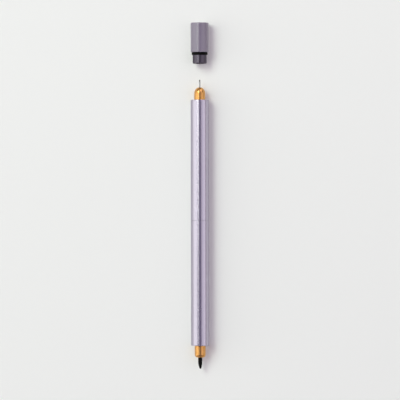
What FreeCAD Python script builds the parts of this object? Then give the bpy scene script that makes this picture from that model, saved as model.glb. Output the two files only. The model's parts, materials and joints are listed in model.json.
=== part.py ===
"""A double-ended technical pen with its cap lying in line in front of the fine tip.

Two anodised barrel halves screw together on a threaded joiner. Each half carries one nib
unit in its mouth and one ink cartridge behind it: a fine fibre tip in a steel sleeve at the
upper end, and a brush nib at the lower end. A light spring between the two cartridges holds
each one against its nib unit. The cap plugs into the mouth round the brass nose.

The pen lies along Y, with its cap towards +Y, on the plane Z = 0. The origin is on that
plane, half way along the pen and its cap together.
"""
import FreeCAD
import Part
import Sketcher

import math
import os

PARTS_FOLDER = "parts"
RIM_MATCH = 1e-4  # mm, how near an edge must be to the rim that is asked for

# Driving dimensions in millimetres. Reaches are visible lengths along the pen's axis, and
# gaps are radial.
DIMENSIONS = {
    # barrel halves
    "barrel_diameter": 9.0,
    "barrel_bore": 6.6,
    "upper_barrel_length": 60.0,
    "lower_barrel_length": 62.2,
    "mouth_bore": 7.1,
    "mouth_depth": 6.9,
    "ring_seat_bore": 8.05,
    "ring_seat_depth": 1.5,
    "mouth_round": 0.35,
    "seam_chamfer": 0.05,
    # screwed joint between the halves
    "joiner_diameter": 7.6,
    "joiner_seat": 8.0,
    "joiner_reach": 7.5,
    "joiner_chamfer": 0.2,
    "gasket_diameter": 8.3,
    "gasket_thickness": 0.4,
    "gasket_seat_depth": 0.36,
    # brass noses
    "nose_diameter": 5.45,
    "nose_flange_diameter": 7.0,
    "nose_flange_thickness": 0.8,
    "nose_shank_diameter": 6.5,
    "nose_shank_length": 10.0,
    "nose_shank_chamfer": 0.3,
    "nose_bore": 3.6,
    "nose_lip": 3.0,
    "nose_groove_diameter": 5.3,
    "nose_groove_width": 0.9,
    "nose_groove_offset": 4.5,
    "nose_ring_section": 0.62,
    "fineliner_nose_reach": 6.1,
    "fineliner_nose_round": 2.1,
    "brush_nose_reach": 5.9,
    "brush_nose_round": 1.55,
    # fine tip
    "sleeve_diameter": 0.7,
    "sleeve_bore": 0.52,
    "sleeve_reach": 2.75,
    "sleeve_seat": 6.0,
    "tip_diameter": 0.5,
    "tip_reach": 1.05,
    "tip_round": 0.2,
    "tip_tail": 1.0,
    "feed_wick_diameter": 1.48,
    # brush nib
    "brush_diameter": 2.1,
    "brush_reach": 5.55,
    "brush_straight": 1.9,
    "brush_waist_diameter": 1.47,
    "brush_point_diameter": 0.5,
    "brush_point_round": 0.22,
    # nib holders and what reaches back into the ink
    "holder_length": 17.5,
    "wick_tail": 7.0,
    # ink cartridges
    "tube_diameter": 6.2,
    "tube_bore": 5.6,
    "fineliner_tube_length": 40.0,
    "brush_tube_length": 38.0,
    "tube_gap": 0.3,
    "core_recess": 0.3,
    "core_well": 8.0,
    "plug_depth": 3.0,
    "plug_flange": 1.0,
    "plug_peg_diameter": 3.4,
    "plug_peg": 1.2,
    # spring between the cartridges
    "spring_diameter": 5.0,
    "spring_wire": 0.5,
    "spring_turns": 4.0,
    # cap
    "cap_length": 14.7,
    "cap_bore_depth": 12.6,
    "cap_round": 0.5,
    "cap_lip_chamfer": 0.12,
    "cap_gap": 8.0,
    "spigot_diameter": 7.0,
    "spigot_bore": 5.9,
    "spigot_reach": 4.3,
    "spigot_seat": 8.0,
    "spigot_round": 0.5,
    "ring_groove_diameter": 6.6,
    "ring_diameter": 7.95,
    "ring_width": 1.4,
    "ring_round": 0.3,
    # clearances
    "seat_gap": 0.01,
    "slip_gap": 0.02,
    "running_gap": 0.05,
}

document = FreeCAD.newDocument("technical_pen")


class Length:
    """A length in millimetres together with the sheet formula that gives it."""

    def __init__(self, value, formula):
        self.value = value
        self.formula = formula

    def __add__(self, other):
        return Length(self.value + other.value, f"{self.formula} + {other.formula}")

    def __sub__(self, other):
        return Length(self.value - other.value, f"{self.formula} - ({other.formula})")

    def __mul__(self, number):
        return Length(self.value * number, f"({self.formula}) * {number}")

    def __truediv__(self, number):
        return Length(self.value / number, f"({self.formula}) / {number}")


NOTHING = Length(0.0, "0")


def write_sheet():
    """Put every driving dimension in a cell of its own, with its name as the alias."""
    sheet = document.addObject("Spreadsheet::Sheet", "sizes")
    for row, (alias, value) in enumerate(DIMENSIONS.items(), start=1):
        cell = f"A{row}"
        sheet.set(cell, str(value))
        sheet.setAlias(cell, alias)
    document.recompute()


def size(alias):
    return Length(DIMENSIONS[alias], f"sizes.{alias}")


def radius(alias):
    return size(alias) / 2


# Sketches and turned features -------------------------------------------------------------


# How a sketch refers to its own axes and origin, and to the points of an element.
HORIZONTAL_AXIS = -1
VERTICAL_AXIS = -2
SKETCH_ORIGIN = (-1, 1)
START = 1
END = 2
CENTRE = 3


def outline_sketch(body, name):
    """An empty sketch on the body's own YZ plane: height along the pen, radius upwards."""
    sketch = body.newObject("Sketcher::SketchObject", name)
    plane = next(item for item in body.Origin.OriginFeatures if item.Role == "YZ_Plane")
    sketch.AttachmentSupport = [(plane, "")]
    sketch.MapMode = "FlatFace"
    return sketch


def pin_down(sketch, element, point, kind, length):
    """Hold one coordinate of a sketch point at a length from the sketch's origin."""
    if length.value == 0:
        axis = VERTICAL_AXIS if kind == "DistanceX" else HORIZONTAL_AXIS
        sketch.addConstraint(Sketcher.Constraint("PointOnObject", element, point, axis))
        return
    constraint = Sketcher.Constraint(kind, *SKETCH_ORIGIN, element, point, length.value)
    index = sketch.addConstraint(constraint)
    sketch.setExpression(f"Constraints[{index}]", length.formula)


def draw_outline(sketch, corners):
    """A closed outline of straight edges through (radius, height) corners."""
    places = [FreeCAD.Vector(height.value, across.value, 0) for across, height in corners]
    edges = []
    for start, end in zip(places, places[1:] + places[:1]):
        edges.append(sketch.addGeometry(Part.LineSegment(start, end)))
    for before, after in zip(edges, edges[1:] + edges[:1]):
        sketch.addConstraint(Sketcher.Constraint("Coincident", before, END, after, START))
    for edge, (across, height) in zip(edges, corners):
        pin_down(sketch, edge, START, "DistanceX", height)
        pin_down(sketch, edge, START, "DistanceY", across)


def draw_wire_section(sketch, across, height, section_radius):
    """A circle of the given radius, centred at a radius and height."""
    centre = FreeCAD.Vector(height.value, across.value, 0)
    circle = Part.Circle(centre, FreeCAD.Vector(0, 0, 1), section_radius.value)
    element = sketch.addGeometry(circle)
    constraint = Sketcher.Constraint("Radius", element, section_radius.value)
    index = sketch.addConstraint(constraint)
    sketch.setExpression(f"Constraints[{index}]", section_radius.formula)
    pin_down(sketch, element, CENTRE, "DistanceX", height)
    pin_down(sketch, element, CENTRE, "DistanceY", across)


def revolve(body, sketch):
    """Turn a sketch once round the body's own Y axis."""
    turning = body.newObject("PartDesign::Revolution", f"{body.Name}_turning")
    turning.Profile = (sketch, [""])
    turning.ReferenceAxis = (sketch, ["H_Axis"])
    turning.Angle = 360
    body.Tip = turning
    document.recompute()


def turned_body(name, corners):
    """A body turned from a closed outline."""
    body = document.addObject("PartDesign::Body", name)
    sketch = outline_sketch(body, f"{name}_outline")
    draw_outline(sketch, corners)
    revolve(body, sketch)
    return body


def rim_names(shape, rims):
    """Names of the circular edges that lie at the given (radius, height) rims."""
    names = []
    for index, edge in enumerate(shape.Edges, start=1):
        if not isinstance(edge.Curve, Part.Circle):
            continue
        for across, height in rims:
            same_radius = math.isclose(edge.Curve.Radius, across.value, abs_tol=RIM_MATCH)
            same_height = math.isclose(edge.Curve.Center.y, height.value, abs_tol=RIM_MATCH)
            if same_radius and same_height:
                names.append(f"Edge{index}")
    if len(names) != len(rims):
        raise ValueError(f"{len(names)} rims found where {len(rims)} were meant")
    return names


def dress_rims(body, kind, rims, amount):
    """Round ("Fillet") or bevel ("Chamfer") circular rims of a turned body."""
    base = body.Tip
    names = rim_names(base.Shape, rims)
    feature = body.newObject(f"PartDesign::{kind}", f"{body.Name}_{kind.lower()}")
    feature.Base = (base, names)
    property_name = "Radius" if kind == "Fillet" else "Size"
    feature.setExpression(property_name, amount.formula)
    body.Tip = feature
    document.recompute()


def place(body, station, facing=1, roll=0):
    """Lay a body on the pen's axis at a station, pointing up (1) or down (-1) the pen.

    Roll turns it about the axis first, in degrees.
    """
    half_turn = 0 if facing > 0 else 180
    turn = FreeCAD.Rotation(FreeCAD.Vector(0, 0, 1), half_turn)
    rolled = FreeCAD.Rotation(FreeCAD.Vector(0, 1, 0), roll)
    body.Placement = FreeCAD.Placement(FreeCAD.Vector(0, 0, 0), turn * rolled)
    body.setExpression("Placement.Base.y", station.formula)
    body.setExpression("Placement.Base.z", AXIS_HEIGHT.formula)
    return body


def ring_outline(inner, outer, thickness):
    """Corners of a flat ring that stands on height zero."""
    return [(inner, NOTHING), (outer, NOTHING), (outer, thickness), (inner, thickness)]


# Stations along the pen --------------------------------------------------------------------

write_sheet()

AXIS_HEIGHT = radius("barrel_diameter")
LOWER_BARREL_ROLL = 3.0  # degrees

BRUSH_END_REACH = size("brush_reach") + size("brush_nose_reach")
SEAM_GAP = size("gasket_thickness") - size("gasket_seat_depth")
BARRELS_LENGTH = size("lower_barrel_length") + SEAM_GAP + size("upper_barrel_length")
FINE_END_REACH = size("fineliner_nose_reach") + size("sleeve_reach") + size("tip_reach")
CAP_TO_SHELL = size("cap_gap") + size("spigot_reach") + size("ring_width")
ROW_LENGTH = (
    BRUSH_END_REACH + BARRELS_LENGTH + FINE_END_REACH + CAP_TO_SHELL + size("cap_length")
)

LOWER_MOUTH = BRUSH_END_REACH - ROW_LENGTH / 2
LOWER_SEAM = LOWER_MOUTH + size("lower_barrel_length")
UPPER_SEAM = LOWER_SEAM + SEAM_GAP
UPPER_MOUTH = UPPER_SEAM + size("upper_barrel_length")
SPIGOT_END = UPPER_MOUTH + FINE_END_REACH + size("cap_gap")
CAP_FACE = UPPER_MOUTH + FINE_END_REACH + CAP_TO_SHELL

# Heights inside a nib unit, from the rear end of the nose's shank.
NOSE_DEPTH = size("nose_shank_length") + size("mouth_depth")
FINELINER_NOSE_LENGTH = NOSE_DEPTH + size("fineliner_nose_reach")
BRUSH_NOSE_LENGTH = NOSE_DEPTH + size("brush_nose_reach")
UPPER_SHANK_END = UPPER_MOUTH - NOSE_DEPTH
LOWER_SHANK_END = LOWER_MOUTH + NOSE_DEPTH


# Barrel and its screwed joint --------------------------------------------------------------


def barrel_half(name, length, joint_bore, joint_end):
    """A barrel half: joint bore at height zero, cap mouth and nose seat at the far end.

    joint_end holds the corners at the open end of the joint bore.
    """
    outside = radius("barrel_diameter")
    bore = radius("barrel_bore")
    mouth = radius("mouth_bore")
    ring_seat = radius("ring_seat_bore")
    shoulder = length - size("mouth_depth")
    ring_shoulder = length - size("ring_seat_depth")
    body = turned_body(name, [
        (outside, NOTHING),
        (outside, length),
        (ring_seat, length),
        (ring_seat, ring_shoulder),
        (mouth, ring_shoulder),
        (mouth, shoulder),
        (bore, shoulder),
        (bore, size("joiner_seat")),
        (joint_bore, size("joiner_seat")),
        *joint_end,
    ])
    dress_rims(body, "Chamfer", [(outside, NOTHING)], size("seam_chamfer"))
    dress_rims(body, "Fillet", [(outside, length)], size("mouth_round"))
    return body


def upper_barrel():
    """The half that screws on the joiner, with a plain end."""
    joint_bore = radius("joiner_diameter") + size("running_gap")
    length = size("upper_barrel_length")
    joint_end = [(joint_bore, NOTHING)]
    body = barrel_half("upper_barrel", length, joint_bore, joint_end)
    return place(body, UPPER_SEAM)


def lower_barrel():
    """The half that holds the joiner, with a counterbore in its end for the gasket.

    Its roll is half of one side of a 60-sided mesh, which then rests on a flat.
    """
    joint_bore = radius("joiner_diameter") + size("seat_gap")
    gasket_seat = radius("gasket_diameter") + size("running_gap")
    length = size("lower_barrel_length")
    joint_end = [
        (joint_bore, size("gasket_seat_depth")),
        (gasket_seat, size("gasket_seat_depth")),
        (gasket_seat, NOTHING),
    ]
    body = barrel_half("lower_barrel", length, joint_bore, joint_end)
    return place(body, LOWER_SEAM, facing=-1, roll=LOWER_BARREL_ROLL)


def barrel_joiner():
    """The sleeve held in the lower half, whose free end screws into the upper half."""
    inner = radius("barrel_bore")
    outer = radius("joiner_diameter")
    length = size("joiner_seat") + SEAM_GAP + size("joiner_reach")
    body = turned_body("barrel_joiner", ring_outline(inner, outer, length))
    dress_rims(body, "Chamfer", [(outer, length)], size("joiner_chamfer"))
    return place(body, LOWER_SEAM - size("joiner_seat"))


def barrel_gasket():
    """The flat ring in the lower half's end, which the upper half presses on."""
    inner = radius("joiner_diameter") + size("running_gap")
    outer = radius("gasket_diameter")
    body = turned_body("barrel_gasket", ring_outline(inner, outer, size("gasket_thickness")))
    return place(body, LOWER_SEAM - size("gasket_seat_depth"))


# Nib units ---------------------------------------------------------------------------------


def nose(name, length, front_bore, front_round, station, facing):
    """A brass nose: grooved shank in the barrel, flange on its shoulder, rounded front."""
    outside = radius("nose_diameter")
    shank = radius("nose_shank_diameter")
    groove = radius("nose_groove_diameter")
    flange = radius("nose_flange_diameter")
    bore = radius("nose_bore")
    groove_start = size("nose_groove_offset")
    groove_end = groove_start + size("nose_groove_width")
    seat = size("nose_shank_length")
    flange_top = seat + size("nose_flange_thickness")
    lip = length - size("nose_lip")
    body = turned_body(name, [
        (bore, NOTHING),
        (shank, NOTHING),
        (shank, groove_start),
        (groove, groove_start),
        (groove, groove_end),
        (shank, groove_end),
        (shank, seat),
        (flange, seat),
        (flange, flange_top),
        (outside, flange_top),
        (outside, length),
        (front_bore, length),
        (front_bore, lip),
        (bore, lip),
    ])
    dress_rims(body, "Chamfer", [(shank, NOTHING)], size("nose_shank_chamfer"))
    dress_rims(body, "Fillet", [(outside, length)], front_round)
    return place(body, station, facing)


def nose_o_ring(name, shank_end, facing):
    """The ring in the shank's groove, which grips and seals the unit in the barrel."""
    body = document.addObject("PartDesign::Body", name)
    sketch = outline_sketch(body, f"{name}_section")
    section = radius("nose_ring_section")
    middle = radius("nose_groove_diameter") + size("seat_gap") + section
    draw_wire_section(sketch, middle, NOTHING, section)
    revolve(body, sketch)
    height = size("nose_groove_offset") + size("nose_groove_width") / 2
    return place(body, shank_end + height if facing > 0 else shank_end - height, facing)


def fineliner_nib_holder():
    """The plastic core of the fine unit: sleeve bore in front, feed wick bore behind."""
    outer = radius("nose_bore") - size("slip_gap")
    sleeve = radius("sleeve_diameter") + size("seat_gap")
    wick = radius("feed_wick_diameter") + size("seat_gap")
    length = size("holder_length")
    step = length - size("sleeve_seat") - size("tip_tail")
    body = turned_body("fineliner_nib_holder", [
        (wick, NOTHING),
        (outer, NOTHING),
        (outer, length),
        (sleeve, length),
        (sleeve, step),
        (wick, step),
    ])
    front = UPPER_SHANK_END + FINELINER_NOSE_LENGTH - size("nose_lip")
    return place(body, front - length)


def fineliner_sleeve():
    """The thin steel tube round the fine tip."""
    length = size("sleeve_seat") + size("nose_lip") + size("sleeve_reach")
    corners = ring_outline(radius("sleeve_bore"), radius("sleeve_diameter"), length)
    body = turned_body("fineliner_sleeve", corners)
    front = UPPER_SHANK_END + FINELINER_NOSE_LENGTH + size("sleeve_reach")
    return place(body, front - length)


def fineliner_tip():
    """The fibre rod that draws the line, rounded at its front end."""
    outer = radius("tip_diameter")
    inside = size("sleeve_seat") + size("nose_lip") + size("tip_tail")
    length = inside + size("sleeve_reach") + size("tip_reach")
    body = turned_body("fineliner_tip", ring_outline(NOTHING, outer, length))
    dress_rims(body, "Fillet", [(outer, length)], size("tip_round"))
    return place(body, UPPER_SHANK_END + FINELINER_NOSE_LENGTH - inside)


def fineliner_feed_wick():
    """The thicker wick that carries ink from the cartridge to the fine tip."""
    inside = size("sleeve_seat") + size("nose_lip") + size("tip_tail")
    top = FINELINER_NOSE_LENGTH - inside - size("running_gap")
    length = size("wick_tail") + top
    corners = ring_outline(NOTHING, radius("feed_wick_diameter"), length)
    body = turned_body("fineliner_feed_wick", corners)
    return place(body, UPPER_SHANK_END - size("wick_tail"))


def brush_nib_holder():
    """The plastic core of the brush unit, with one bore for the nib's stem."""
    inner = radius("brush_diameter") + size("seat_gap")
    outer = radius("nose_bore") - size("slip_gap")
    length = size("holder_length")
    body = turned_body("brush_nib_holder", ring_outline(inner, outer, length))
    front = LOWER_SHANK_END - BRUSH_NOSE_LENGTH + size("nose_lip")
    return place(body, front + length, facing=-1)


def brush_nib():
    """The brush nib: a straight stem that narrows in two tapers to a blunt point."""
    stem = radius("brush_diameter")
    point = radius("brush_point_diameter")
    nose_front = size("wick_tail") + BRUSH_NOSE_LENGTH
    taper_start = nose_front + size("brush_straight")
    length = nose_front + size("brush_reach")
    waist = taper_start + (length - taper_start) / 2
    body = turned_body("brush_nib", [
        (NOTHING, NOTHING),
        (stem, NOTHING),
        (stem, taper_start),
        (radius("brush_waist_diameter"), waist),
        (point, length),
        (NOTHING, length),
    ])
    dress_rims(body, "Fillet", [(point, length)], size("brush_point_round"))
    return place(body, LOWER_SHANK_END + size("wick_tail"), facing=-1)


# Ink cartridges ----------------------------------------------------------------------------


def cartridge(prefix, tube_length, stem, shank_end, facing):
    """An ink cartridge behind a nib unit: tube, ink-filled core and rear plug.

    The plug's rear flange is at height zero, and the tube's open front looks at the nib.
    """
    inner = radius("tube_bore")
    outer = radius("tube_diameter")
    flange = size("plug_flange")
    rear = flange + tube_length + size("tube_gap")
    station = shank_end - rear if facing > 0 else shank_end + rear

    tube = turned_body(f"{prefix}_ink_tube", ring_outline(inner, outer, tube_length))
    tube_station = station + flange if facing > 0 else station - flange
    place(tube, tube_station, facing)

    core_length = tube_length - size("plug_depth") - size("core_recess")
    core_outer = inner - size("slip_gap")
    well = stem + size("running_gap")
    well_floor = core_length - size("core_well")
    core = turned_body(f"{prefix}_ink_core", [
        (NOTHING, NOTHING),
        (core_outer, NOTHING),
        (core_outer, core_length),
        (well, core_length),
        (well, well_floor),
        (NOTHING, well_floor),
    ])
    core_height = flange + size("plug_depth")
    place(core, station + core_height if facing > 0 else station - core_height, facing)

    peg = radius("plug_peg_diameter")
    plug_outer = inner - size("seat_gap")
    flange_foot = size("plug_peg")
    tube_foot = flange_foot + flange
    plug_top = tube_foot + size("plug_depth")
    plug = turned_body(f"{prefix}_ink_plug", [
        (NOTHING, NOTHING),
        (peg, NOTHING),
        (peg, flange_foot),
        (outer, flange_foot),
        (outer, tube_foot),
        (plug_outer, tube_foot),
        (plug_outer, plug_top),
        (NOTHING, plug_top),
    ])
    peg_length = size("plug_peg")
    place(plug, station - peg_length if facing > 0 else station + peg_length, facing)
    return station


def cartridge_spring(low_seat, high_seat):
    """The light coil spring between the two cartridges' plugs."""
    body = document.addObject("PartDesign::Body", "cartridge_spring")
    sketch = outline_sketch(body, "cartridge_spring_section")
    wire = radius("spring_wire")
    draw_wire_section(sketch, radius("spring_diameter") - wire, wire, wire)
    coil = body.newObject("PartDesign::AdditiveHelix", "cartridge_spring_coil")
    coil.Profile = (sketch, [""])
    coil.ReferenceAxis = (sketch, ["H_Axis"])
    coil.Mode = "pitch-height-angle"
    travel = high_seat - low_seat - size("spring_wire") - size("running_gap") * 2
    coil.setExpression("Height", travel.formula)
    coil.setExpression("Pitch", f"({travel.formula}) / sizes.spring_turns")
    body.Tip = coil
    document.recompute()
    return place(body, low_seat + size("running_gap"))


# Cap ---------------------------------------------------------------------------------------


def cap_shell():
    """The closed outer shell of the cap, open towards the pen."""
    outside = radius("barrel_diameter")
    bore = radius("spigot_diameter") + size("seat_gap")
    length = size("cap_length")
    body = turned_body("cap_shell", [
        (bore, NOTHING),
        (outside, NOTHING),
        (outside, length),
        (NOTHING, length),
        (NOTHING, size("cap_bore_depth")),
        (bore, size("cap_bore_depth")),
    ])
    dress_rims(body, "Chamfer", [(outside, NOTHING)], size("cap_lip_chamfer"))
    dress_rims(body, "Fillet", [(outside, length)], size("cap_round"))
    return place(body, CAP_FACE)


def cap_spigot():
    """The sleeve in the shell that plugs into the barrel's mouth, grooved for its ring."""
    inner = radius("spigot_bore")
    outer = radius("spigot_diameter")
    groove = radius("ring_groove_diameter")
    groove_start = size("spigot_reach")
    groove_end = groove_start + size("ring_width")
    length = groove_end + size("spigot_seat")
    body = turned_body("cap_spigot", [
        (inner, NOTHING),
        (outer, NOTHING),
        (outer, groove_start),
        (groove, groove_start),
        (groove, groove_end),
        (outer, groove_end),
        (outer, length),
        (inner, length),
    ])
    dress_rims(body, "Fillet", [(outer, NOTHING)], size("spigot_round"))
    return place(body, SPIGOT_END)


def cap_o_ring():
    """The round-edged rubber ring in the spigot's groove, against the shell."""
    inner = radius("ring_groove_diameter") + size("seat_gap")
    outer = radius("ring_diameter")
    width = size("ring_width")
    body = turned_body("cap_o_ring", ring_outline(inner, outer, width))
    dress_rims(body, "Fillet", [(outer, NOTHING), (outer, width)], size("ring_round"))
    return place(body, SPIGOT_END + size("spigot_reach"))


# The pen -----------------------------------------------------------------------------------

upper_barrel()
lower_barrel()
barrel_joiner()
barrel_gasket()

nose(
    "fineliner_nose", FINELINER_NOSE_LENGTH, radius("sleeve_diameter") + size("seat_gap"),
    size("fineliner_nose_round"), UPPER_SHANK_END, 1,
)
nose_o_ring("fineliner_nose_o_ring", UPPER_SHANK_END, 1)
fineliner_nib_holder()
fineliner_sleeve()
fineliner_tip()
fineliner_feed_wick()

nose(
    "brush_nose", BRUSH_NOSE_LENGTH, radius("brush_diameter") + size("running_gap"),
    size("brush_nose_round"), LOWER_SHANK_END, -1,
)
nose_o_ring("brush_nose_o_ring", LOWER_SHANK_END, -1)
brush_nib_holder()
brush_nib()

upper_seat = cartridge(
    "fineliner", size("fineliner_tube_length"), radius("feed_wick_diameter"), UPPER_SHANK_END, 1
)
lower_seat = cartridge(
    "brush", size("brush_tube_length"), radius("brush_diameter"), LOWER_SHANK_END, -1
)
cartridge_spring(lower_seat, upper_seat)

cap_shell()
cap_spigot()
cap_o_ring()


# Checking and writing ----------------------------------------------------------------------


def check_document():
    """Stop if any object failed to build, which a recompute doesn't report by itself."""
    document.recompute()
    for item in document.Objects:
        if "Invalid" in item.State or "Error" in item.State:
            raise ValueError(f"{item.Name} failed: {item.State}")


def write_parts():
    """Write each piece to a file of its own, named after it."""
    os.makedirs(PARTS_FOLDER, exist_ok=True)
    for body in document.findObjects("PartDesign::Body"):
        shape = body.Shape
        if shape.isNull() or not shape.isValid() or len(shape.Solids) != 1:
            raise ValueError(f"{body.Label} is not one valid solid")
        shape.exportStep(f"{PARTS_FOLDER}/{body.Label}.step")
        print(f"{body.Label}: {shape.Volume:.2f} mm3, {shape.BoundBox}")


check_document()
write_parts()
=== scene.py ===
"""The looks of a double-ended technical pen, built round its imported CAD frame.

Every piece that shows is turned again here at a fine resolution, with real edge rounds, a cut
thread and a fluted brush nib, and gets a procedural metal, rubber, plastic or fibre finish.
Lengths are in metres, written as millimetres times MM. The pen's axis lies along Y.
"""

import json
import math

import bpy
from mathutils import Matrix, Vector, noise


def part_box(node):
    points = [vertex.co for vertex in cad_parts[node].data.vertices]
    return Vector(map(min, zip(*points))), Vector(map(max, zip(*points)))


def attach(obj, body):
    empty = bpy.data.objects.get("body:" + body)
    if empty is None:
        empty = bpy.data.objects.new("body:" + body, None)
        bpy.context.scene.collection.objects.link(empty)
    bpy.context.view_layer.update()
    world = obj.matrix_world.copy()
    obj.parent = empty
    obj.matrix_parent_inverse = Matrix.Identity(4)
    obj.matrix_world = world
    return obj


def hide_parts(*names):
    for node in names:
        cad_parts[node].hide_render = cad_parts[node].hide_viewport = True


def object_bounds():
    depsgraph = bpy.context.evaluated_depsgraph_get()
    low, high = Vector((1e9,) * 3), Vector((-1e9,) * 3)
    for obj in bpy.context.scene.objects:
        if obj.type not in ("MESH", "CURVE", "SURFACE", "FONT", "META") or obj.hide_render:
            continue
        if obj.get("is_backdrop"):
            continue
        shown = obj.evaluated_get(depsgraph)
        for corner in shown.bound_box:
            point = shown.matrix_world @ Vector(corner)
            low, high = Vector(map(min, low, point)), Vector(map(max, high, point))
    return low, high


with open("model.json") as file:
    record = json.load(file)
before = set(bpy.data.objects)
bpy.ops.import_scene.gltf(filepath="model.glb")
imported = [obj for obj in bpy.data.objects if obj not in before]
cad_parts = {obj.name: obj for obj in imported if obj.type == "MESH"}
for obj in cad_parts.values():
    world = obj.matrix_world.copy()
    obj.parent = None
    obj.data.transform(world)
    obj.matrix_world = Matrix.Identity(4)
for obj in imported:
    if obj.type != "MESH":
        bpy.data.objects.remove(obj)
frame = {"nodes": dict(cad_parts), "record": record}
CAD_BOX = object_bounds()

MM = 0.001
SEGMENTS = 144      # corners of a turned body's rings
ARC_STEPS = 5       # facets of each rounded corner
CREASE_ANGLE = 50   # degrees between the faces of a crease that shading leaves sharp

BARREL_LOW, BARREL_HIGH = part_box("upper_barrel")
AXIS_HEIGHT = (BARREL_LOW.z + BARREL_HIGH.z) / 2


# Turning -----------------------------------------------------------------------------------


def rounded_outline(corners):
    """Points of a closed (radius, height) outline, with an arc at each rounded corner.

    A corner is (radius, height, round). The outline runs anticlockwise, so the outside is on
    its right. Each point is (radius, height, normal before it, normal after it, edge wear).
    """
    points = []
    count = len(corners)
    for index, (radius, height, size) in enumerate(corners):
        here = Vector((radius, height))
        before = (here - Vector(corners[index - 1][:2])).normalized()
        after = (Vector(corners[(index + 1) % count][:2]) - here).normalized()
        normal_before = Vector((before.y, -before.x))
        normal_after = Vector((after.y, -after.x))
        if size == 0:
            points.append((radius, height, normal_before, normal_after, 0.0))
            continue
        turn = math.atan2(before.x * after.y - before.y * after.x, before.dot(after))
        side = math.copysign(1, turn)
        start = here - before * size * math.tan(abs(turn) / 2)
        centre = start - normal_before * size * side
        for step in range(ARC_STEPS + 1):
            normal = Matrix.Rotation(turn * step / ARC_STEPS, 2) @ normal_before
            place = centre + normal * size * side
            worn = 1.0 if side > 0 and 0 < step < ARC_STEPS else 0.0
            points.append((place.x, place.y, normal, normal, worn))
    return points


def on_axis(radius, height, angle, station, facing):
    """The place of a point at a radius, height and angle of a turned body."""
    across = radius * math.cos(angle)
    up = radius * math.sin(angle)
    return Vector((across * facing, station + facing * height, AXIS_HEIGHT - up))


def turned_direction(normal, angle, facing):
    """The direction in space of an outline's normal at an angle of a turned body."""
    return on_axis(normal.x, normal.y, angle, 0, facing) - Vector((0, 0, AXIS_HEIGHT))


def turned(name, corners, station, facing=1, relief=None):
    """A closed body turned from an outline, lying on the pen's axis at a station.

    relief(radius, height, angle) gives the radius of a surface that isn't round.
    """
    points = rounded_outline(corners)
    vertices, wear, rings = [], [], []
    for radius, height, _, _, worn in points:
        count = SEGMENTS if radius > 0 else 1
        rings.append((len(vertices), count))
        for index in range(count):
            angle = math.tau * index / SEGMENTS
            here = relief(radius, height, angle) if relief else radius
            vertices.append(on_axis(here, height, angle, station, facing))
            wear.append(worn)

    faces, normals = [], []
    for index, point in enumerate(points):
        following = (index + 1) % len(points)
        ends = (point[3], points[following][2])
        for face, directions in band(rings[index], rings[following], ends, facing):
            faces.append(face)
            normals.extend(directions)

    mesh = bpy.data.meshes.new(name)
    mesh.from_pydata(vertices, [], faces)
    mesh.attributes.new("edge_wear", "FLOAT", "POINT").data.foreach_set("value", wear)
    mesh.shade_smooth()
    if relief:
        mesh.set_sharp_from_angle(angle=math.radians(CREASE_ANGLE))
    else:
        mesh.normals_split_custom_set(normals)
    piece = bpy.data.objects.new(name, mesh)
    bpy.context.scene.collection.objects.link(piece)
    return piece


def band(low_ring, high_ring, end_normals, facing):
    """The faces between two rings of a turned body, each with its corners' normals."""
    low_start, low_count = low_ring
    high_start, high_count = high_ring
    if low_count == 1 and high_count == 1:
        return
    for index in range(SEGMENTS):
        following = (index + 1) % SEGMENTS
        corners = [(low_start + index % low_count, index, end_normals[0])]
        if low_count > 1:
            corners.append((low_start + following, following, end_normals[0]))
        corners.append((high_start + following % high_count, following, end_normals[1]))
        if high_count > 1:
            corners.append((high_start + index, index, end_normals[1]))
        directions = [
            turned_direction(normal, math.tau * step / SEGMENTS, facing)
            for _, step, normal in corners
        ]
        yield [corner[0] for corner in corners], directions


# Sizes -------------------------------------------------------------------------------------

SHARP = 0.04 * MM        # round of an edge that a lathe leaves crisp
RUNNING_GAP = 0.05 * MM  # radial room between pieces that slide
TIGHT_GAP = 0.01 * MM    # radial room between pieces that are fixed together
BORE = 3.3 * MM          # radius inside the barrel and the joiner


def radius_of(node):
    low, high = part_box(node)
    return (high.x - low.x) / 2


def length_of(node):
    low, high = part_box(node)
    return high.y - low.y


def foot_of(node, facing=1):
    """The station where a node's own height zero lies, at its low end when it faces +Y."""
    low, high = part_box(node)
    return low.y if facing > 0 else high.y


def plain_ring(inner, outer, length, size):
    """Corners of a tube, all with the same edge round."""
    return [(inner, 0, size), (outer, 0, size), (outer, length, size), (inner, length, size)]


def plain_rod(outer, length, foot_round, top_round):
    """Corners of a solid rod."""
    return [(0, 0, 0), (outer, 0, foot_round), (outer, length, top_round), (0, length, 0)]


# Barrel ------------------------------------------------------------------------------------

SEAM_ROUND = 0.05 * MM
MOUTH_ROUND = 0.35 * MM
MOUTH_DEPTH = 6.9 * MM
RING_SEAT_DEPTH = 1.5 * MM   # depth of the mouth's wider step, where the cap's ring seals
RING_SEAT_ROUND = 0.12 * MM
JOINER_SEAT = 8.0 * MM       # depth of the joiner's bore in each barrel half
JOINER_ROUND = 0.15 * MM
GASKET_SEAT_DEPTH = 0.36 * MM
GASKET_ROUND = 0.1 * MM
THREAD_PITCH = 0.75 * MM
THREAD_DEPTH = 0.32 * MM
THREAD_START = 0.5 * MM      # plain stretch between the lower half's end and the thread
THREAD_END = 0.3 * MM        # plain stretch after the thread
THREAD_SLOPE = 2.6           # share of the depth climbed in each pitch of length
THREAD_ROOT = 0.15           # how much of that climb the flat root takes
THREAD_ROWS = 12             # rings of the mesh in each turn of thread


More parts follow.
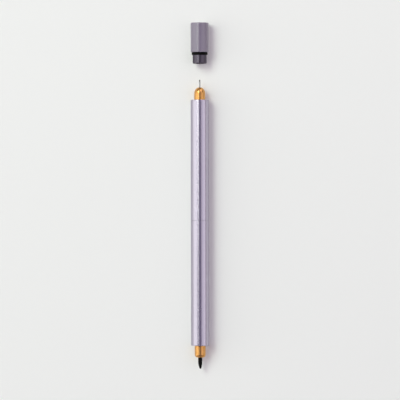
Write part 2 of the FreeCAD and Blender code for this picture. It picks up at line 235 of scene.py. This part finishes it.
def barrel_half(node, facing, joint_gap, joint_end=()):
    """A barrel half with its stepped mouth and the bore for the joiner."""
    outside = radius_of(node)
    length = length_of(node)
    joint = radius_of("barrel_joiner") + joint_gap
    mouth = radius_of("cap_spigot") + RUNNING_GAP
    ring_seat = radius_of("cap_o_ring") + RUNNING_GAP
    shoulder = length - MOUTH_DEPTH
    ring_shoulder = length - RING_SEAT_DEPTH
    return turned(f"{node}_turned", [
        *(joint_end or [(joint, 0, SHARP)]),
        (outside, 0, SEAM_ROUND),
        (outside, length, MOUTH_ROUND),
        (ring_seat, length, SHARP),
        (ring_seat, ring_shoulder, SHARP),
        (mouth, ring_shoulder, RING_SEAT_ROUND),
        (mouth, shoulder, SHARP),
        (BORE, shoulder, SHARP),
        (BORE, JOINER_SEAT, SHARP),
        (joint, JOINER_SEAT, SHARP),
    ], foot_of(node, facing), facing)


def upper_barrel():
    """The half that screws on the joiner."""
    return barrel_half("upper_barrel", 1, RUNNING_GAP)


def lower_barrel():
    """The half that holds the joiner, with the gasket's seat in its end."""
    joint = radius_of("barrel_joiner") + TIGHT_GAP
    seat = radius_of("barrel_gasket") + RUNNING_GAP
    seat_corners = [(joint, GASKET_SEAT_DEPTH, 0), (seat, GASKET_SEAT_DEPTH, 0), (seat, 0, 0)]
    return barrel_half("lower_barrel", -1, TIGHT_GAP, seat_corners)


def joiner():
    """The joiner with a right-handed thread cut in the end that the upper half screws on."""
    outer = radius_of("barrel_joiner")
    length = length_of("barrel_joiner")
    start = JOINER_SEAT + THREAD_START
    end = length - THREAD_END
    rows = round((end - start) / THREAD_PITCH * THREAD_ROWS)

    def thread(radius, height, angle):
        if radius < outer - SHARP or not start < height < end:
            return radius
        turn = (height / THREAD_PITCH - angle / math.tau) % 1
        flank = min(1, max(0, THREAD_SLOPE * abs(turn - 0.5) - THREAD_ROOT))
        ease = min(1, (height - start) / THREAD_PITCH, (end - height) / THREAD_PITCH)
        return radius - THREAD_DEPTH * ease * (1 - flank)

    wall = [(outer, start + (end - start) * row / rows, 0) for row in range(rows + 1)]
    return turned("barrel_joiner_threaded", [
        (BORE, 0, SHARP),
        (outer, 0, SHARP),
        *wall,
        (outer, length, JOINER_ROUND),
        (BORE, length, SHARP),
    ], foot_of("barrel_joiner"), relief=thread)


def gasket():
    """The thin ring in the lower half's end, under the seam."""
    inner = radius_of("barrel_joiner") + RUNNING_GAP
    outer, length = radius_of("barrel_gasket"), length_of("barrel_gasket")
    corners = plain_ring(inner, outer, length, GASKET_ROUND)
    return turned("barrel_gasket_turned", corners, foot_of("barrel_gasket"))


# Nib units ---------------------------------------------------------------------------------

NOSE_SHANK = 10.0 * MM
NOSE_SHANK_ROUND = 0.25 * MM
NOSE_FLANGE = 0.8 * MM
NOSE_FLANGE_ROUND = 0.08 * MM
NOSE_ROOT_ROUND = 0.1 * MM
NOSE_RADIUS = 2.725 * MM
NOSE_BORE = 1.8 * MM
NOSE_LIP = 3.0 * MM          # depth of the narrow bore at the front
BRUSH_NOSE_ROUND = 1.4 * MM
DOME_REACH = 3.0 * MM        # half length of the ellipse that the fine nose's dome follows
DOME_STEPS = 5
DOME_STEP_ROUND = 0.8 * MM
DOME_FACE = 0.8 * MM         # radius of the flat round the fine tip's sleeve
DOME_FACE_ROUND = 0.1 * MM
GROOVE_RADIUS = 2.65 * MM
GROOVE_START = 4.5 * MM
GROOVE_WIDTH = 0.9 * MM
O_RING_ROUND = 0.499         # share of a ring's width, nearly half for a round section
TIP_ROUND = 0.12 * MM
WICK_ROUND = 0.2 * MM
HOLDER_ROUND = 0.12 * MM
BRUSH_FREE_LENGTH = 5.55 * MM  # length of the nib outside its nose
BRUSH_STRAIGHT = 1.7 * MM      # how much of that length comes before the taper
BRUSH_POINT = 0.28 * MM        # radius where the taper ends
BRUSH_BLUNTNESS = 0.8          # radius of the worn point's face, as a share of BRUSH_POINT
BRUSH_FACE_DEPTH = 0.01 * MM
BRUSH_FULLNESS = 0.75          # a lower power makes a fuller taper
BRUSH_BEND = 0.1 * MM          # how far the point leans sideways
BRUSH_STEM_ROUND = 0.15 * MM
BRUSH_TAPER_ROWS = 46
BRUSH_STRAIGHT_ROWS = 12
FLUTE_LEAD = 1 * MM            # how far the flutes reach back into the nose
FLUTE_DEPTH = 0.03 * MM
FLUTE_COUNT = 23
CLUMPING = 9                   # how finely the fibres clump round the nib
CLUMPS_PER_MM = 0.35           # and along it
FLUTE_WANDER = 2.5             # radians that a flute strays as the clumps push it
FLUTE_SHARE = 0.4              # shares of the depth for the flutes and for the clumps,
CLUMP_SHARE = 0.6
FLUTE_SINK = 0.3               # and how far both lie under the stem's own radius


def domed_front(length):
    """Corners of the fine nose's egg-shaped front, where tangents of an ellipse cross."""
    face_angle = math.acos(DOME_FACE / NOSE_RADIUS)
    step_angle = face_angle / DOME_STEPS
    stretch = 1 / math.cos(step_angle / 2)
    start = length - DOME_REACH * math.sin(face_angle)
    corners = []
    for step in range(DOME_STEPS):
        angle = step_angle * (step + 0.5)
        radius = NOSE_RADIUS * math.cos(angle) * stretch
        height = start + DOME_REACH * math.sin(angle) * stretch
        corners.append((radius, height, DOME_STEP_ROUND))
    return [*corners, (DOME_FACE, length, DOME_FACE_ROUND)]


def rounded_front(length):
    """The one rounded corner of the brush nose's front."""
    return [(NOSE_RADIUS, length, BRUSH_NOSE_ROUND)]


def nose(node, facing, front_bore, front):
    """A brass nose with its grooved shank, flange and shaped front."""
    flange = radius_of(node)
    shank = BORE - RUNNING_GAP
    length = length_of(node)
    lip = length - NOSE_LIP
    flange_top = NOSE_SHANK + NOSE_FLANGE
    return turned(f"{node}_turned", [
        (NOSE_BORE, 0, SHARP),
        (shank, 0, NOSE_SHANK_ROUND),
        (shank, GROOVE_START, SHARP),
        (GROOVE_RADIUS, GROOVE_START, SHARP),
        (GROOVE_RADIUS, GROOVE_START + GROOVE_WIDTH, SHARP),
        (shank, GROOVE_START + GROOVE_WIDTH, SHARP),
        (shank, NOSE_SHANK, SHARP),
        (flange, NOSE_SHANK, NOSE_FLANGE_ROUND),
        (flange, flange_top, NOSE_FLANGE_ROUND),
        (NOSE_RADIUS, flange_top, NOSE_ROOT_ROUND),
        *front(length),
        (front_bore, length, SHARP),
        (front_bore, lip, SHARP),
        (NOSE_BORE, lip, SHARP),
    ], foot_of(node, facing), facing)


def o_ring(node):
    """A round-section ring, turned at the node's own place."""
    outer, width = radius_of(node), length_of(node)
    corners = plain_ring(outer - width, outer, width, O_RING_ROUND * width)
    return turned(f"{node}_turned", corners, foot_of(node))


def sleeve():
    """The thin steel tube round the fine tip, open at both ends."""
    outer, length = radius_of("fineliner_sleeve"), length_of("fineliner_sleeve")
    inner = radius_of("fineliner_tip") + TIGHT_GAP
    corners = plain_ring(inner, outer, length, SHARP)
    return turned("fineliner_sleeve_turned", corners, foot_of("fineliner_sleeve"))


def fibre_tip():
    """The fibre rod, domed at the front by wear."""
    outer, length = radius_of("fineliner_tip"), length_of("fineliner_tip")
    corners = plain_rod(outer, length, SHARP, TIP_ROUND)
    return turned("fineliner_tip_turned", corners, foot_of("fineliner_tip"))


def feed_wick():
    """The thicker fibre rod behind the fine tip."""
    outer, length = radius_of("fineliner_feed_wick"), length_of("fineliner_feed_wick")
    corners = plain_rod(outer, length, WICK_ROUND, SHARP)
    return turned("fineliner_feed_wick_turned", corners, foot_of("fineliner_feed_wick"))


def nib_holder(node, facing, stem):
    """The moulded core of a nib unit, round the stem that passes through it."""
    inner = radius_of(stem) + TIGHT_GAP
    corners = plain_ring(inner, radius_of(node), length_of(node), HOLDER_ROUND)
    return turned(f"{node}_turned", corners, foot_of(node, facing), facing)


def brush():
    """The brush nib: a fluted stem of bonded fibres that narrows to a bent, blunt point."""
    stem, length = radius_of("brush_nib"), length_of("brush_nib")
    front = length - BRUSH_FREE_LENGTH
    flute_start = front - FLUTE_LEAD
    taper_length = BRUSH_FREE_LENGTH - BRUSH_STRAIGHT

    def taper(share):
        """Radius along the taper, which swells before it runs out to the point."""
        ease = math.cos(share * math.pi / 2) ** BRUSH_FULLNESS
        return BRUSH_POINT + (stem - BRUSH_POINT) * ease

    def flutes(radius, height, angle):
        if height < flute_start or radius == 0:
            return radius
        depth = FLUTE_DEPTH * min(1, radius / stem)
        around = Vector((math.cos(angle), math.sin(angle), 0)) * CLUMPING
        along = Vector((0, 0, height / MM * CLUMPS_PER_MM))
        clump = noise.noise(around + along)
        ridge = math.cos(FLUTE_COUNT * angle + FLUTE_WANDER * clump)
        return radius + depth * (FLUTE_SHARE * ridge + CLUMP_SHARE * clump - FLUTE_SINK)

    straight_rows = [
        (stem, flute_start + (FLUTE_LEAD + BRUSH_STRAIGHT) * row / BRUSH_STRAIGHT_ROWS, 0)
        for row in range(BRUSH_STRAIGHT_ROWS)
    ]
    taper_rows = [
        (taper(row / BRUSH_TAPER_ROWS),
         front + BRUSH_STRAIGHT + taper_length * row / BRUSH_TAPER_ROWS, 0)
        for row in range(BRUSH_TAPER_ROWS)
    ]
    piece = turned("brush_nib_fluted", [
        (0, 0, 0),
        (stem, 0, BRUSH_STEM_ROUND),
        *straight_rows,
        *taper_rows,
        (BRUSH_POINT * BRUSH_BLUNTNESS, length - BRUSH_FACE_DEPTH, 0),
        (0, length, 0),
    ], foot_of("brush_nib", -1), -1, relief=flutes)
    bend_start = foot_of("brush_nib", -1) - front - BRUSH_STRAIGHT
    for vertex in piece.data.vertices:
        past = max(0, bend_start - vertex.co.y) / taper_length
        vertex.co.x += BRUSH_BEND * past ** 2
    return piece


# Cap ---------------------------------------------------------------------------------------

SEAT_GAP = 0.02 * MM         # room left between the shell and the barrel when the cap is closed
SHELL_MOUTH_ROUND = 0.12 * MM
SHELL_END_ROUND = 0.5 * MM
CAP_BORE_DEPTH = 12.6 * MM
CAP_BORE_ROUND = 0.3 * MM
SPIGOT_REACH = 4.3 * MM      # from the spigot's end to the ring
SPIGOT_ROUND = 0.5 * MM
SPIGOT_STEP_ROUND = 0.06 * MM
SPIGOT_BORE = 2.95 * MM
SPIGOT_BORE_ROUND = 0.15 * MM
RING_GROOVE = 3.3 * MM       # radius of the groove's floor
RING_INNER_ROUND = 0.1 * MM
RING_OUTER_ROUND = 0.42 * MM


def cap_shell():
    """The closed shell, with the bore that holds the spigot."""
    outside, length = radius_of("cap_shell"), length_of("cap_shell")
    bore = radius_of("cap_spigot") + TIGHT_GAP
    return turned("cap_shell_turned", [
        (bore, SEAT_GAP, SHARP),
        (outside, SEAT_GAP, SHELL_MOUTH_ROUND),
        (outside, length, SHELL_END_ROUND),
        (0, length, 0),
        (0, CAP_BORE_DEPTH, 0),
        (bore, CAP_BORE_DEPTH, CAP_BORE_ROUND),
    ], foot_of("cap_shell"))


def cap_spigot():
    """The sleeve that plugs into the barrel, grooved for its ring."""
    outer, length = radius_of("cap_spigot"), length_of("cap_spigot")
    ring_end = SPIGOT_REACH + length_of("cap_o_ring")
    return turned("cap_spigot_turned", [
        (SPIGOT_BORE, 0, SPIGOT_BORE_ROUND),
        (outer, 0, SPIGOT_ROUND),
        (outer, SPIGOT_REACH, SPIGOT_STEP_ROUND),
        (RING_GROOVE, SPIGOT_REACH, SHARP),
        (RING_GROOVE, ring_end, SHARP),
        (outer, ring_end, SHARP),
        (outer, length, SHARP),
        (SPIGOT_BORE, length, SHARP),
    ], foot_of("cap_spigot"))


def cap_ring():
    """The rubber ring, full-rounded on its outside where it seals the mouth."""
    inner = RING_GROOVE + TIGHT_GAP
    outer, width = radius_of("cap_o_ring"), length_of("cap_o_ring")
    return turned("cap_o_ring_turned", [
        (inner, 0, RING_INNER_ROUND),
        (outer, 0, RING_OUTER_ROUND),
        (outer, width, RING_OUTER_ROUND),
        (inner, width, RING_INNER_ROUND),
    ], foot_of("cap_o_ring"))


# Materials ---------------------------------------------------------------------------------


class Finish:
    """A material under construction: its principled shader, and a tidy way to add nodes."""

    def __init__(self, name, colour, metallic, roughness):
        self.material = bpy.data.materials.new(name)
        self.material.use_nodes = True
        self.tree = self.material.node_tree
        self.shader = self.tree.nodes["Principled BSDF"]
        self.set(**{"Base Color": (*colour, 1), "Metallic": metallic, "Roughness": roughness})
        where = self.add("ShaderNodeTexCoord").outputs["Object"]
        scale = self.add("ShaderNodeVectorMath", operation="SCALE")
        self.link(where, scale.inputs[0])
        scale.inputs["Scale"].default_value = 1 / MM
        self.millimetres = scale.outputs[0]

    def add(self, kind, **settings):
        node = self.tree.nodes.new(kind)
        for name, value in settings.items():
            setattr(node, name, value)
        return node

    def link(self, output, target):
        self.tree.links.new(output, target)

    def set(self, **sockets):
        for name, value in sockets.items():
            self.shader.inputs[name].default_value = value

    def stretched(self, x, y, z):
        """Millimetre coordinates, scaled along each axis."""
        node = self.add("ShaderNodeVectorMath", operation="MULTIPLY")
        self.link(self.millimetres, node.inputs[0])
        node.inputs[1].default_value = (x, y, z)
        return node.outputs[0]

    def noise(self, where, scale=1.0, detail=2.0, rough=0.5):
        """Soft noise over coordinates, with scale features to each of their units."""
        node = self.add("ShaderNodeTexNoise")
        self.link(where, node.inputs["Vector"])
        node.inputs["Scale"].default_value = scale
        node.inputs["Detail"].default_value = detail
        node.inputs["Roughness"].default_value = rough
        return node.outputs["Fac"]

    def span(self, value, low, high, start=0.0, end=1.0):
        """A value mapped from start-end to low-high."""
        node = self.add("ShaderNodeMapRange")
        self.link(value, node.inputs["Value"])
        for name, number in (("From Min", start), ("From Max", end),
                             ("To Min", low), ("To Max", high)):
            node.inputs[name].default_value = number
        return node.outputs["Result"]

    def multiply(self, first, second):
        node = self.add("ShaderNodeMath", operation="MULTIPLY")
        self.link(first, node.inputs[0])
        self.link(second, node.inputs[1])
        return node.outputs[0]

    def blend(self, share, first, second):
        """A colour mix: first where share is 0, second where it is 1."""
        node = self.add("ShaderNodeMix", data_type="RGBA")
        self.link(share, node.inputs["Factor"])
        for socket, colour in ((node.inputs["A"], first), (node.inputs["B"], second)):
            if isinstance(colour, tuple):
                socket.default_value = (*colour, 1)
            else:
                self.link(colour, socket)
        return node.outputs["Result"]

    def bump(self, height, strength, distance, before=None):
        """Surface relief, distance in metres, laid over an earlier relief."""
        node = self.add("ShaderNodeBump")
        node.inputs["Strength"].default_value = strength
        node.inputs["Distance"].default_value = distance
        self.link(height, node.inputs["Height"])
        if before:
            self.link(before, node.inputs["Normal"])
        return node.outputs["Normal"]

    def worn_edges(self, threshold):
        """Where an edge's finish has rubbed off, broken up by noise."""
        edge = self.add("ShaderNodeAttribute", attribute_name="edge_wear").outputs["Fac"]
        patches = self.noise(self.millimetres, scale=1.6, detail=3)
        rubbed = self.span(patches, 0, 1, start=threshold, end=threshold + 0.2)
        return self.multiply(edge, rubbed)


# A bright dyed metal keeps only part of its gloss at a low angle. A dark, thickly dyed one
# shows its dye, and shines most at a low angle. Dull rubber and wet fibre hardly shine.
BRIGHT_DYE = {"Specular Tint": (0.62, 0.58, 0.64, 1)}
DARK_DYE = {"Metallic": 0.0, "Sheen Weight": 0.2, "Sheen Roughness": 0.25,
            "Coat Weight": 0.6, "Coat IOR": 1.9, "Coat Roughness": 0.3}
DULL = {"Specular IOR Level": 0.08}


def scaled(colour, factor):
    return tuple(channel * factor for channel in colour)


def anodised(name, colour, roughness, gloss, bare=(0.75, 0.74, 0.76)):
    """Dyed anodised aluminium: blasted grain over faint turning marks, rubbed on its edges.

    Gloss holds the settings of its sheen, and bare is the metal's colour where it is rubbed.
    """
    finish = Finish(name, colour, metallic=1.0, roughness=roughness)
    finish.set(**gloss)
    mottling = finish.noise(finish.stretched(0.25, 0.06, 0.25), detail=3)
    dyed = finish.blend(mottling, scaled(colour, 0.96), scaled(colour, 1.04))
    surface = finish.blend(finish.worn_edges(threshold=0.45), dyed, bare)
    finish.link(surface, finish.shader.inputs["Base Color"])
    rub = finish.span(mottling, roughness - 0.005, roughness + 0.005, start=0.3, end=0.7)
    finish.link(rub, finish.shader.inputs["Roughness"])
    turning = finish.noise(finish.stretched(0.12, 5, 0.12), detail=3, rough=0.6)
    blasting = finish.noise(finish.millimetres, scale=7)
    marks = finish.bump(turning, strength=0.5, distance=0.0004 * MM)
    relief = finish.bump(blasting, strength=0.1, distance=0.001 * MM, before=marks)
    finish.link(relief, finish.shader.inputs["Normal"])
    return finish.material


def brass():
    """Polished brass with fine turning lines and a little tarnish."""
    colour = (0.72, 0.38, 0.125)
    finish = Finish("polished_brass", colour, metallic=1.0, roughness=0.25)
    clouds = finish.noise(finish.stretched(0.5, 0.7, 0.5), detail=4)
    tarnish = finish.span(clouds, 0, 1, start=0.35, end=0.75)
    toned = finish.blend(tarnish, colour, (0.66, 0.32, 0.09))
    finish.link(toned, finish.shader.inputs["Base Color"])
    lines = finish.noise(finish.stretched(0.1, 6, 0.1), detail=3, rough=0.6)
    rub = finish.span(lines, 0.26, 0.34, start=0.3, end=0.7)
    finish.link(rub, finish.shader.inputs["Roughness"])
    relief = finish.bump(lines, strength=0.3, distance=0.0004 * MM)
    finish.link(relief, finish.shader.inputs["Normal"])
    return finish.material


def steel(name, colour, roughness):
    """Bright drawn steel, with draw marks along its length."""
    finish = Finish(name, colour, metallic=1.0, roughness=roughness)
    draw = finish.noise(finish.stretched(12, 0.4, 12), detail=3)
    tone = finish.blend(draw, scaled(colour, 0.9), scaled(colour, 1.08))
    finish.link(tone, finish.shader.inputs["Base Color"])
    rub = finish.span(draw, roughness - 0.05, roughness + 0.07, start=0.3, end=0.7)
    finish.link(rub, finish.shader.inputs["Roughness"])
    relief = finish.bump(draw, strength=0.15, distance=0.004 * MM)
    finish.link(relief, finish.shader.inputs["Normal"])
    return finish.material


def rubber():
    """Black nitrile rubber: dull, with a fine moulded grain and a dusty bloom."""
    colour = (0.002, 0.002, 0.002)
    finish = Finish("black_rubber", colour, metallic=0.0, roughness=0.55)
    finish.set(**DULL)
    bloom = finish.noise(finish.millimetres, scale=1.1, detail=4)
    dust = finish.span(bloom, 0, 0.5, start=0.45, end=0.8)
    dusty = finish.blend(dust, colour, (0.008, 0.008, 0.008))
    finish.link(dusty, finish.shader.inputs["Base Color"])
    finish.link(finish.span(bloom, 0.45, 0.65), finish.shader.inputs["Roughness"])
    grain = finish.noise(finish.millimetres, scale=9, detail=3)
    relief = finish.bump(grain, strength=0.3, distance=0.01 * MM)
    finish.link(relief, finish.shader.inputs["Normal"])
    return finish.material


def fibre(name, colour, roughness):
    """Bonded ink-soaked fibres that run along the nib."""
    finish = Finish(name, colour, metallic=0.0, roughness=roughness)
    finish.set(**DULL)
    strands = finish.noise(finish.stretched(9, 0.5, 9), detail=4, rough=0.7)
    tone = finish.blend(strands, scaled(colour, 0.5), scaled(colour, 2.2))
    finish.link(tone, finish.shader.inputs["Base Color"])
    wet = finish.span(strands, roughness - 0.12, roughness + 0.2, start=0.3, end=0.7)
    finish.link(wet, finish.shader.inputs["Roughness"])
    relief = finish.bump(strands, strength=0.6, distance=0.02 * MM)
    finish.link(relief, finish.shader.inputs["Normal"])
    return finish.material


def wadding():
    """Loose ink-soaked wadding, crimped and matt."""
    colour = (0.02, 0.02, 0.025)
    finish = Finish("ink_soaked_wadding", colour, metallic=0.0, roughness=0.8)
    crimp = finish.noise(finish.stretched(3, 1.2, 3), detail=5, rough=0.7)
    tone = finish.blend(crimp, scaled(colour, 0.6), scaled(colour, 2.5))
    finish.link(tone, finish.shader.inputs["Base Color"])
    relief = finish.bump(crimp, strength=0.8, distance=0.08 * MM)
    finish.link(relief, finish.shader.inputs["Normal"])
    return finish.material


def moulded(name, colour, roughness):
    """Moulded plastic: soft mottling under a fine spark-eroded grain."""
    finish = Finish(name, colour, metallic=0.0, roughness=roughness)
    flow = finish.noise(finish.stretched(0.5, 0.15, 0.5), detail=3)
    tone = finish.blend(flow, scaled(colour, 0.9), scaled(colour, 1.1))
    finish.link(tone, finish.shader.inputs["Base Color"])
    grain = finish.noise(finish.millimetres, scale=12)
    rub = finish.span(grain, roughness - 0.05, roughness + 0.1)
    finish.link(rub, finish.shader.inputs["Roughness"])
    relief = finish.bump(grain, strength=0.2, distance=0.008 * MM)
    finish.link(relief, finish.shader.inputs["Normal"])
    return finish.material


def floor_paper():
    """A pale matt floor with a trace of paper tooth."""
    colour = (0.94, 0.95, 0.925)
    finish = Finish("pale_floor", colour, metallic=0.0, roughness=0.9)
    finish.set(**{"Specular IOR Level": 0.1})
    tooth = finish.noise(finish.millimetres, scale=0.4, detail=3)
    tone = finish.blend(tooth, scaled(colour, 0.995), scaled(colour, 1.005))
    finish.link(tone, finish.shader.inputs["Base Color"])
    return finish.material


FINISHES = {
    "barrel_anodised": anodised("barrel_anodised", (0.52, 0.485, 0.575), 0.27, BRIGHT_DYE),
    "cap_anodised": anodised("cap_anodised", (0.20, 0.165, 0.235), 0.36, DARK_DYE,
                             bare=(0.36, 0.33, 0.39)),
    "joiner_metal": anodised("joiner_metal", (0.60, 0.60, 0.62), 0.3, BRIGHT_DYE),
    "spigot_gunmetal": anodised("spigot_gunmetal", (0.102, 0.09, 0.114), 0.32, BRIGHT_DYE,
                                bare=(0.3, 0.29, 0.31)),
    "nose_brass": brass(),
    "sleeve_steel": steel("sleeve_steel", (0.40, 0.40, 0.40), 0.3),
    "spring_steel": steel("spring_steel", (0.55, 0.55, 0.56), 0.3),
    "black_rubber": rubber(),
    "ink_black_fibre": fibre("ink_black_fibre", (0.003, 0.0025, 0.002), 0.5),
    "ink_soaked_wadding": wadding(),
    "grey_plastic": moulded("grey_plastic", (0.12, 0.12, 0.125), 0.45),
    "clear_plastic": moulded("clear_plastic", (0.72, 0.73, 0.75), 0.25),
}


# Putting the pieces on the frame -----------------------------------------------------------

RECORD = frame["record"]
SLOT_OF = {part["node"]: part["material_slot"] for part in RECORD["subparts"]}
BODY_OF = {
    node: body for body, nodes in RECORD["behaviour"]["bodies"].items() for node in nodes
}


def finish_node(node):
    """Give a CAD node its finish, for the pieces that no finer one stands for."""
    materials = frame["nodes"][node].data.materials
    materials.clear()
    materials.append(FINISHES[SLOT_OF[node]])


def stand_for(node, piece):
    """Let a finer piece stand for a CAD node, on its body and with its finish."""
    piece.data.materials.append(FINISHES[SLOT_OF[node]])
    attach(piece, BODY_OF[node])
    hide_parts(node)


FINER_PIECES = {
    "upper_barrel": upper_barrel(),
    "lower_barrel": lower_barrel(),
    "barrel_joiner": joiner(),
    "barrel_gasket": gasket(),
    "fineliner_nose": nose("fineliner_nose", 1, radius_of("fineliner_sleeve") + TIGHT_GAP,
                           domed_front),
    "brush_nose": nose("brush_nose", -1, radius_of("brush_nib") + RUNNING_GAP, rounded_front),
    "fineliner_nose_o_ring": o_ring("fineliner_nose_o_ring"),
    "brush_nose_o_ring": o_ring("brush_nose_o_ring"),
    "fineliner_sleeve": sleeve(),
    "fineliner_tip": fibre_tip(),
    "fineliner_feed_wick": feed_wick(),
    "fineliner_nib_holder": nib_holder("fineliner_nib_holder", 1, "fineliner_feed_wick"),
    "brush_nib_holder": nib_holder("brush_nib_holder", -1, "brush_nib"),
    "brush_nib": brush(),
    "cap_shell": cap_shell(),
    "cap_spigot": cap_spigot(),
    "cap_o_ring": cap_ring(),
}

for node_name in frame["nodes"]:
    finish_node(node_name)
for node_name, finer_piece in FINER_PIECES.items():
    stand_for(node_name, finer_piece)


# Floor, light and camera -------------------------------------------------------------------

FLOOR_SIZE = 6                      # metres
FLOOR_GAP = 0.02 * MM               # how far the floor lies under the pen
LIGHT_DISTANCE = 2.6                # metres from the pen to each soft light
LOOK_AT = (0.04 * MM, -2.14 * MM)   # the place under the camera
VIEW_HEIGHT = 198.8 * MM            # how much of the floor's length the picture takes in
LENS = 300                          # focal length in mm, on a sensor as wide as this in mm
SENSOR = 36
ROLL = -0.11                        # degrees
NEAREST = 0.01                      # metres in front of the camera where sight begins
FARTHEST = 20                       # and where it ends


def floor():
    """A plain pale floor right under the pen."""
    bpy.ops.mesh.primitive_grid_add(x_subdivisions=4, y_subdivisions=4, size=FLOOR_SIZE)
    ground = bpy.context.object
    ground.name = "floor"
    ground.location.z = CAD_BOX[0].z - FLOOR_GAP
    ground.data.materials.append(floor_paper())
    ground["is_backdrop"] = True


def softbox(name, azimuth, polar, spans, radiance, colour):
    """A rectangular soft light that faces the pen, as bright as its radiance says.

    Azimuth turns from +X towards +Y, polar is the angle from straight up, and the spans are how
    wide and how long the light looks from the pen, all in degrees. A flat light's power is pi
    times its radiance times its area.
    """
    turn, tilt = math.radians(azimuth), math.radians(polar)
    out = Vector((math.sin(tilt) * math.cos(turn), math.sin(tilt) * math.sin(turn),
                  math.cos(tilt)))
    width, length = (2 * LIGHT_DISTANCE * math.tan(math.radians(span) / 2) for span in spans)
    lamp = bpy.data.lights.new(name, "AREA")
    lamp.shape = "RECTANGLE"
    lamp.size, lamp.size_y = width, length
    lamp.energy = radiance * math.pi * width * length
    lamp.color = colour
    holder = bpy.data.objects.new(name, lamp)
    holder.location = out * LIGHT_DISTANCE
    holder.rotation_euler = out.to_track_quat("Z", "Y").to_euler()
    holder.visible_camera = False
    bpy.context.scene.collection.objects.link(holder)
    return lamp


def fill(name, **panel):
    """A soft light that only lifts the shadows, and casts none of its own."""
    softbox(name, **panel).use_shadow = False


def room(horizon, overhead):
    """The room's own light, which fades from the horizon's colour to the one overhead."""
    world = bpy.data.worlds.new("room")
    world.use_nodes = True
    tree = world.node_tree
    direction = tree.nodes.new("ShaderNodeTexCoord")
    parts = tree.nodes.new("ShaderNodeSeparateXYZ")
    fade = tree.nodes.new("ShaderNodeMix")
    fade.data_type = "RGBA"
    fade.inputs["A"].default_value = (*horizon, 1)
    fade.inputs["B"].default_value = (*overhead, 1)
    tree.links.new(direction.outputs["Generated"], parts.inputs[0])
    tree.links.new(parts.outputs["Z"], fade.inputs["Factor"])
    tree.links.new(fade.outputs["Result"], tree.nodes["Background"].inputs["Color"])
    bpy.context.scene.world = world


def camera():
    """A long lens that looks straight down on the row, a hair off square."""
    lens = bpy.data.cameras.new("overhead")
    lens.lens = LENS
    lens.sensor_width = SENSOR
    lens.clip_start = NEAREST
    lens.clip_end = FARTHEST
    holder = bpy.data.objects.new("overhead", lens)
    distance = VIEW_HEIGHT * LENS / SENSOR
    holder.location = (*LOOK_AT, AXIS_HEIGHT + distance)
    holder.rotation_euler.z = math.radians(ROLL)
    bpy.context.scene.collection.objects.link(holder)
    bpy.context.scene.camera = holder


floor()
softbox("key", azimuth=137, polar=42, spans=(26, 20), radiance=5.8, colour=(0.85, 1.00, 0.87))
softbox("window", azimuth=146, polar=27.5, spans=(23, 20), radiance=4.7,
        colour=(0.97, 1.00, 0.90))
softbox("left_wall", azimuth=180, polar=65, spans=(46, 56), radiance=1.22,
        colour=(0.97, 1.00, 0.93))
fill("right_wall", azimuth=0, polar=43.5, spans=(30, 53), radiance=0.80,
     colour=(1.00, 0.98, 0.98))
fill("right_skirting", azimuth=0, polar=76, spans=(26, 53), radiance=0.2,
     colour=(1.00, 0.95, 0.95))
fill("far_corner", azimuth=62, polar=55, spans=(38, 38), radiance=1.6,
     colour=(1.00, 0.91, 0.92))
room(horizon=(0.41, 0.37, 0.39), overhead=(0.12, 0.09, 0.18))
camera()
bpy.context.scene.view_settings.view_transform = "Standard"

boxes = {"cad": CAD_BOX, "visual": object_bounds()}
{name: [list(low), list(high)] for name, (low, high) in boxes.items()}
